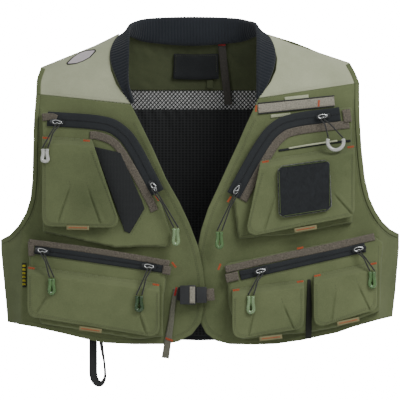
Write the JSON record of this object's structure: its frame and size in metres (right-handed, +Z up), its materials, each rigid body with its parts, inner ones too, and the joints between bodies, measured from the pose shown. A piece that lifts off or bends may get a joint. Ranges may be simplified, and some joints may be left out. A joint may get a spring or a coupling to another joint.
{
  "type": "fishing vest",
  "caption": "Short open-front fishing vest with ribbed collar, zip and flap pockets, pull cords and a side-release buckle.",
  "frame": {"origin": "middle of the back neck, at the collar seam, where the vest hangs", "axes": "+Z up, -Y towards the front of the vest, +X towards the wearer's left"},
  "size_m": [0.6018, 0.1756, 0.5563],
  "materials": {
    "olive_cloth": "matte",
    "sage_cloth": "matte",
    "rib_knit": "matte",
    "black_mesh": "matte",
    "vent_mesh": "matte",
    "webbing_taupe": "matte",
    "webbing_black": "matte",
    "zip_tape": "matte",
    "stretch_knit": "matte",
    "fleece": "matte",
    "slider_metal": "satin",
    "cord": "matte",
    "grip_plastic": "gloss",
    "buckle_plastic": "matte"
  },
  "bodies": {
    "garment": {"front_panel_right": "olive_cloth", "front_panel_left": "olive_cloth", "shoulder_yoke_right": "sage_cloth", "shoulder_yoke_left": "sage_cloth", "back_yoke": "olive_cloth", "back_panel": "olive_cloth", "back_vent_mesh": "vent_mesh", "back_lining": "black_mesh", "rib_collar": "rib_knit", "neck_tape": "webbing_taupe", "chest_zip_pocket_right": "olive_cloth", "chest_zip_pocket_left": "olive_cloth", "lower_zip_pocket_right": "olive_cloth", "lower_zip_pocket_left": "olive_cloth", "zip_tape_chest_right": "zip_tape", "zip_tape_chest_left": "zip_tape", "zip_tape_lower_right": "zip_tape", "zip_tape_lower_left": "zip_tape", "chest_right_pocket": "olive_cloth", "chest_left_pocket": "olive_cloth", "cargo_right_pocket": "olive_cloth", "cargo_inner_left_pocket": "olive_cloth", "cargo_outer_left_pocket": "olive_cloth", "stretch_panel": "stretch_knit", "buckle_socket": "buckle_plastic"},
    "chest_right_flap": {"chest_right_flap": "olive_cloth"},
    "chest_left_flap": {"chest_left_flap": "olive_cloth", "fly_patch": "fleece"},
    "cargo_right_flap": {"cargo_right_flap": "olive_cloth"},
    "cargo_inner_left_flap": {"cargo_inner_left_flap": "olive_cloth"},
    "cargo_outer_left_flap": {"cargo_outer_left_flap": "olive_cloth"},
    "chest_right_upper_slider": {"chest_right_upper_slider": "slider_metal"},
    "chest_right_upper_pull": {"chest_right_upper_cord": "cord", "chest_right_upper_grip": "grip_plastic"},
    "chest_right_lower_slider": {"chest_right_lower_slider": "slider_metal"},
    "chest_right_lower_pull": {"chest_right_lower_cord": "cord", "chest_right_lower_grip": "grip_plastic"},
    "chest_left_upper_slider": {"chest_left_upper_slider": "slider_metal"},
    "chest_left_upper_pull": {"chest_left_upper_cord": "cord", "chest_left_upper_grip": "grip_plastic"},
    "chest_left_lower_slider": {"chest_left_lower_slider": "slider_metal"},
    "chest_left_lower_pull": {"chest_left_lower_cord": "cord", "chest_left_lower_grip": "grip_plastic"},
    "lower_right_outer_slider": {"lower_right_outer_slider": "slider_metal"},
    "lower_right_outer_pull": {"lower_right_outer_cord": "cord", "lower_right_outer_grip": "grip_plastic"},
    "lower_right_inner_slider": {"lower_right_inner_slider": "slider_metal"},
    "lower_right_inner_pull": {"lower_right_inner_cord": "cord", "lower_right_inner_grip": "grip_plastic"},
    "lower_left_inner_slider": {"lower_left_inner_slider": "slider_metal"},
    "lower_left_inner_pull": {"lower_left_inner_cord": "cord", "lower_left_inner_grip": "grip_plastic"},
    "lower_left_outer_slider": {"lower_left_outer_slider": "slider_metal"},
    "lower_left_outer_pull": {"lower_left_outer_cord": "cord", "lower_left_outer_grip": "grip_plastic"},
    "net_loop": {"net_loop": "webbing_black"},
    "strap_tail": {"strap_tail": "webbing_taupe"},
    "buckle_plug": {"buckle_plug": "buckle_plastic"},
    "buckle_latch_upper": {"buckle_latch_upper": "buckle_plastic"},
    "buckle_latch_lower": {"buckle_latch_lower": "buckle_plastic"}
  },
  "joints": [
    {"name": "chest_right_flap_hinge", "type": "hinge", "parent": "garment", "child": "chest_right_flap", "pos_m": [-0.2005, -0.06083, -0.14254], "axis": [-0.988, 0.1383, 0.0687], "range_deg": [0, 95]},
    {"name": "chest_left_flap_hinge", "type": "hinge", "parent": "garment", "child": "chest_left_flap", "pos_m": [0.162, -0.06622, -0.1651], "axis": [-0.9761, -0.1367, -0.1687], "range_deg": [0, 95]},
    {"name": "cargo_right_flap_hinge", "type": "hinge", "parent": "garment", "child": "cargo_right_flap", "pos_m": [-0.1595, -0.06657, -0.348], "axis": [-0.9822, 0.1375, 0.1283], "range_deg": [0, 95]},
    {"name": "cargo_inner_left_flap_hinge", "type": "hinge", "parent": "garment", "child": "cargo_inner_left_flap", "pos_m": [0.102, -0.07462, -0.362], "axis": [-0.9823, -0.1375, -0.1273], "range_deg": [0, 95]},
    {"name": "cargo_outer_left_flap_hinge", "type": "hinge", "parent": "garment", "child": "cargo_outer_left_flap", "pos_m": [0.218, -0.05838, -0.338], "axis": [-0.9699, -0.1358, -0.2021], "range_deg": [0, 95]},
    {"name": "chest_right_upper_slide", "type": "slide", "parent": "garment", "child": "chest_right_upper_slider", "axis": [0.987, -0.1382, -0.0819], "range_m": [-0.006, 0.044]},
    {"name": "chest_right_upper_pull_swing", "type": "hinge", "parent": "chest_right_upper_slider", "child": "chest_right_upper_pull", "pos_m": [-0.214, -0.06764, -0.1222], "axis": [-0.988, 0.1383, 0.0687], "range_deg": [0, 95]},
    {"name": "chest_right_lower_slide", "type": "slide", "parent": "garment", "child": "chest_right_lower_slider", "axis": [0.4949, -0.0693, -0.8662], "range_m": [-0.042, 0]},
    {"name": "chest_right_lower_pull_swing", "type": "hinge", "parent": "chest_right_lower_slider", "child": "chest_right_lower_pull", "pos_m": [-0.069, -0.08794, -0.2195], "axis": [-0.9903, 0.1387, 0], "range_deg": [0, 90]},
    {"name": "chest_left_upper_slide", "type": "slide", "parent": "garment", "child": "chest_left_upper_slider", "axis": [0.981, 0.1373, 0.1373], "range_m": [-0.036, 0.016]},
    {"name": "chest_left_upper_pull_swing", "type": "hinge", "parent": "chest_left_upper_slider", "child": "chest_left_upper_pull", "pos_m": [0.184, -0.07184, -0.1136], "axis": [-0.9761, -0.1367, -0.1687], "range_deg": [0, 95]},
    {"name": "chest_left_lower_slide", "type": "slide", "parent": "garment", "child": "chest_left_lower_slider", "axis": [0.4866, 0.0681, 0.871], "range_m": [0, 0.042]},
    {"name": "chest_left_lower_pull_swing", "type": "hinge", "parent": "chest_left_lower_slider", "child": "chest_left_lower_pull", "pos_m": [0.055, -0.0899, -0.2235], "axis": [-0.9903, -0.1387, 0], "range_deg": [0, 90]},
    {"name": "lower_right_outer_slide", "type": "slide", "parent": "garment", "child": "lower_right_outer_slider", "axis": [0.9801, -0.1372, -0.1431], "range_m": [-0.004, 0.07]},
    {"name": "lower_right_outer_pull_swing", "type": "hinge", "parent": "lower_right_outer_slider", "child": "lower_right_outer_pull", "pos_m": [-0.236, -0.06456, -0.3148], "axis": [-0.9822, 0.1375, 0.1283], "range_deg": [0, 95]},
    {"name": "lower_right_inner_slide", "type": "slide", "parent": "garment", "child": "lower_right_inner_slider", "axis": [0.9801, -0.1372, -0.1431], "range_m": [-0.07, 0.008]},
    {"name": "lower_right_inner_pull_swing", "type": "hinge", "parent": "lower_right_inner_slider", "child": "lower_right_inner_pull", "pos_m": [-0.076, -0.08696, -0.3381], "axis": [-0.9822, 0.1375, 0.1283], "range_deg": [0, 95]},
    {"name": "lower_left_inner_slide", "type": "slide", "parent": "garment", "child": "lower_left_inner_slider", "axis": [0.9656, 0.1352, 0.2221], "range_m": [-0.022, 0.05]},
    {"name": "lower_left_inner_pull_swing", "type": "hinge", "parent": "lower_left_inner_slider", "child": "lower_left_inner_pull", "pos_m": [0.091, -0.08486, -0.3451], "axis": [-0.9823, -0.1375, -0.1273], "range_deg": [0, 95]},
    {"name": "lower_left_outer_slide", "type": "slide", "parent": "garment", "child": "lower_left_outer_slider", "axis": [0.9656, 0.1352, 0.2221], "range_m": [-0.05, 0.002]},
    {"name": "lower_left_outer_pull_swing", "type": "hinge", "parent": "lower_left_outer_slider", "child": "lower_left_outer_pull", "pos_m": [0.238, -0.06428, -0.3123], "axis": [-0.9699, -0.1358, -0.2021], "range_deg": [0, 95]},
    {"name": "net_loop_swing", "type": "hinge", "parent": "garment", "child": "net_loop", "pos_m": [-0.154, -0.048, -0.438], "axis": [1, 0, 0], "range_deg": [-8, 60]},
    {"name": "strap_tail_swing", "type": "hinge", "parent": "garment", "child": "strap_tail", "pos_m": [-0.0385, -0.07281, -0.368], "axis": [-1, 0, 0], "range_deg": [0, 80]},
    {"name": "buckle_plug_slide", "type": "slide", "parent": "garment", "child": "buckle_plug", "axis": [1, 0, 0], "range_m": [0, 0.022]},
    {"name": "buckle_latch_upper_press", "type": "slide", "parent": "buckle_plug", "child": "buckle_latch_upper", "axis": [0, 0, -1], "range_m": [0, 0.0025], "stiffness_N_per_m": 200},
    {"name": "buckle_latch_lower_press", "type": "slide", "parent": "buckle_plug", "child": "buckle_latch_lower", "axis": [0, 0, 1], "range_m": [0, 0.0025], "stiffness_N_per_m": 200}
  ],
  "couplings": [
    {"joint": "chest_right_upper_pull_swing", "follows": "chest_right_flap_hinge", "ratio": 1},
    {"joint": "chest_left_upper_pull_swing", "follows": "chest_left_flap_hinge", "ratio": 1},
    {"joint": "lower_right_outer_pull_swing", "follows": "cargo_right_flap_hinge", "ratio": 1},
    {"joint": "lower_right_inner_pull_swing", "follows": "cargo_right_flap_hinge", "ratio": 1},
    {"joint": "lower_left_inner_pull_swing", "follows": "cargo_inner_left_flap_hinge", "ratio": 1},
    {"joint": "lower_left_outer_pull_swing", "follows": "cargo_outer_left_flap_hinge", "ratio": 1},
    {"joint": "buckle_latch_lower_press", "follows": "buckle_latch_upper_press", "ratio": 1}
  ]
}
